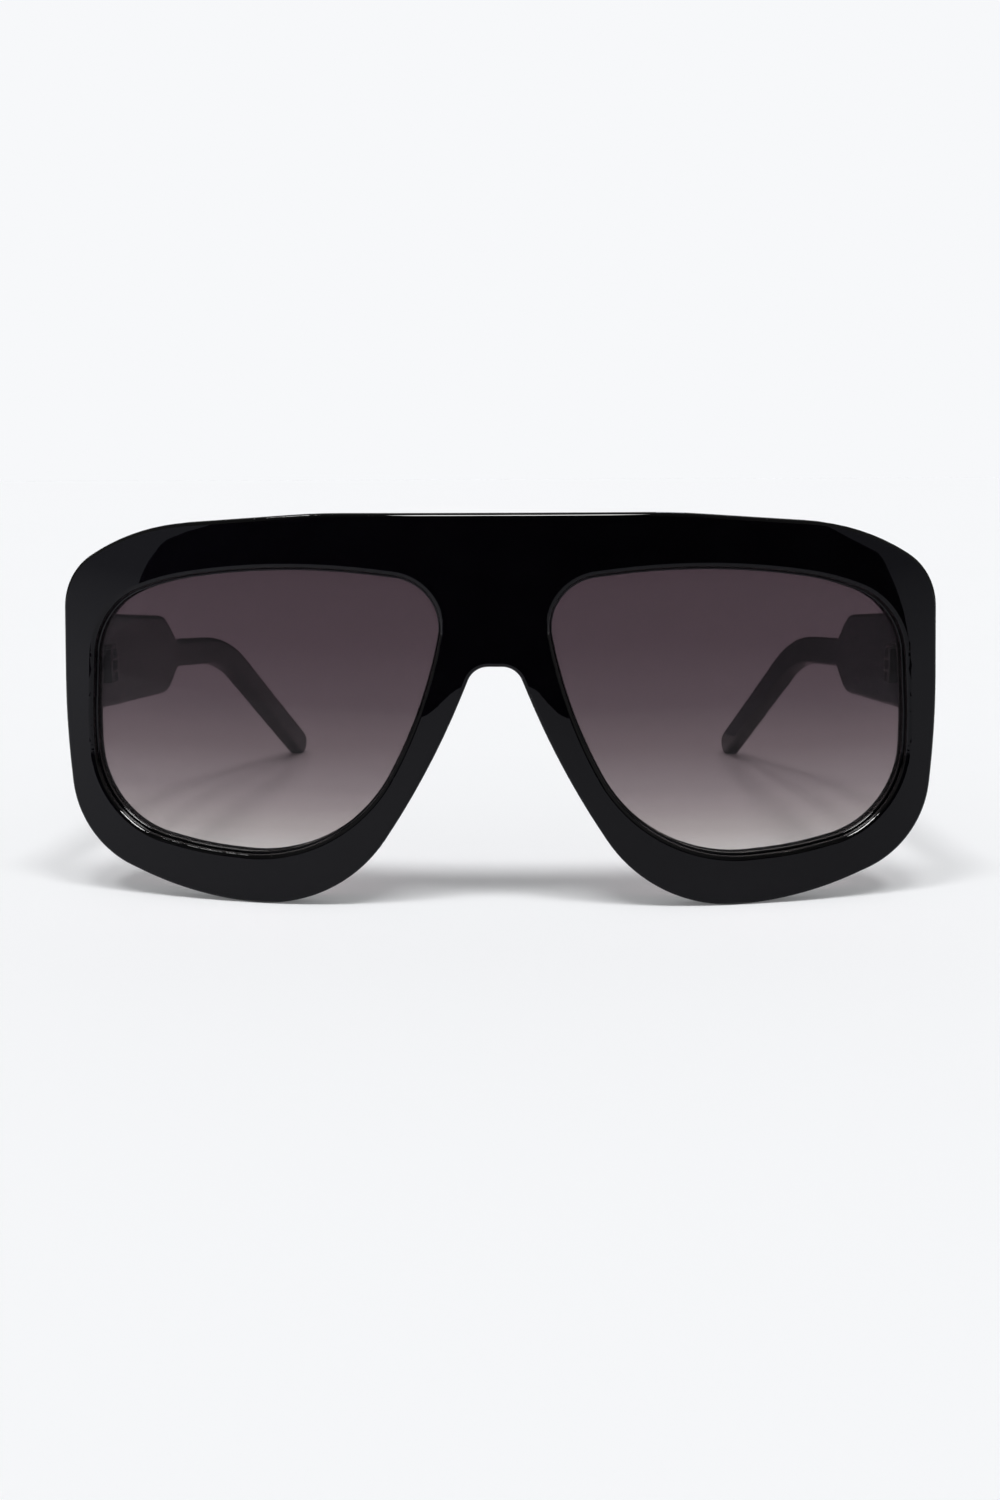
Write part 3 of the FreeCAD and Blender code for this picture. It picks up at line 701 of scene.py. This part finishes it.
turned_steel, tree, surface = blank_material("turned_steel")
place = object_place(tree)
axes = along_axes(tree, place)
across = maths(tree, "SUBTRACT", maths(tree, "ABSOLUTE", axes["X"]), axis_x)
along = maths(tree, "SUBTRACT", axes["Y"], axis_y)
squares = maths(tree, "MULTIPLY_ADD", across, across, maths(tree, "MULTIPLY", along, along))
radius = maths(tree, "SQRT", squares)
rings = maths(tree, "SINE", maths(tree, "MULTIPLY", radius, 2.0 * math.pi / RING_PITCH))
dull = map_range(tree, rings, -1.0, 1.0, 0.0, RING_SHADE)
worn = use_group(tree, rubbed, Vector=place, Width_mm=0.10)["Edge"]
colour = mix_colours(tree, dull, solid(STEEL), solid(STEEL_DULL))
roughness = maths(tree, "MULTIPLY_ADD", worn, STEEL_RUBBED, STEEL_ROUGHNESS)
relief = bump(tree, rings, strength=0.25, depth=RING_DEPTH)
feed(tree, surface, metal_finish(tree, colour, roughness, relief))
print("hinge axis in mm:", round(axis_x / MM, 2), round(axis_y / MM, 2))
dress(["hinge_screw_left", "hinge_screw_right"], turned_steel)

# %% [markdown]
# Thin nylon washers keep the knuckles from rubbing. Seen from the front they are the two pale lines
# across each hinge. Nylon is waxy, so a little light scatters inside it, which a plain pale plastic
# wouldn't show.

# %% Finish: nylon washer
NYLON = (0.72, 0.71, 0.68)
NYLON_GREYED = (0.52, 0.51, 0.49)
NYLON_ROUGHNESS = (0.42, 0.58)
GREYING_PER_METRE = 1500.0
NOISE_SPAN = (0.3, 0.7)

nylon, tree, surface = blank_material("nylon_washer")
greyed = noise(tree, object_place(tree), GREYING_PER_METRE, detail=3.0)
wax = add_node(
    tree,
    "ShaderNodeBsdfPrincipled",
    Base_Color=ramp(tree, greyed, [(0.4, NYLON), (0.75, NYLON_GREYED)]),
    Roughness=map_range(tree, greyed, *NOISE_SPAN, *NYLON_ROUGHNESS),
    Subsurface_Weight=0.2,
    Subsurface_Scale=0.1 * MM,
)
feed(tree, surface, wax.outputs[0])
washers = [f"hinge_washer_{level}_{side}" for level in ("lower", "upper") for side in ("left", "right")]
dress(washers, nylon)

# %% [markdown]
# A drawn wire stiffens each temple. It is buried in the acetate and shows only if a temple is cut
# open, but it still gets the long draw marks that pulling wire through a die leaves. They are noise
# that is stretched along the temple, as the hairlines were.

# %% Finish: drawn wire
WIRE = (0.58, 0.56, 0.52)
WIRE_DULL = (0.38, 0.36, 0.33)
WIRE_ROUGHNESS = (0.45, 0.28)
DRAW_STRETCH = (4000.0, 40.0, 4000.0)
DRAW_DEPTH = 0.02 * MM

drawn, tree, surface = blank_material("drawn_wire")
streaks = noise(tree, stretched(tree, object_place(tree), DRAW_STRETCH), 1.0, detail=2.0)
colour = ramp(tree, streaks, [(0.35, WIRE_DULL), (0.65, WIRE)])
roughness = map_range(tree, streaks, *NOISE_SPAN, *WIRE_ROUGHNESS)
relief = bump(tree, streaks, strength=0.2, depth=DRAW_DEPTH)
feed(tree, surface, metal_finish(tree, colour, roughness, relief))
dress(["temple_core_left", "temple_core_right"], drawn)

# %% [markdown]
# The polished pieces come as triangles whose corner normals are averaged. On a mirror-like face that
# shows as faint creases beside the rounded edges. The Weighted Normal modifier lets the large faces
# decide, so that the flats stay flat and only the roundings turn. It changes the shading and leaves
# every point of the mesh where it is.

# %% Even shading on the polished pieces
polished = ["front_frame"]
for stem in ("temple", "nose_pad", "lens"):
    polished += [stem + "_left", stem + "_right"]
for name in polished:
    evened = pieces[name].modifiers.new("even_shading", "WEIGHTED_NORMAL")
    evened.keep_sharp = True
    evened.weight = 50
print("even shading on", len(polished), "pieces")
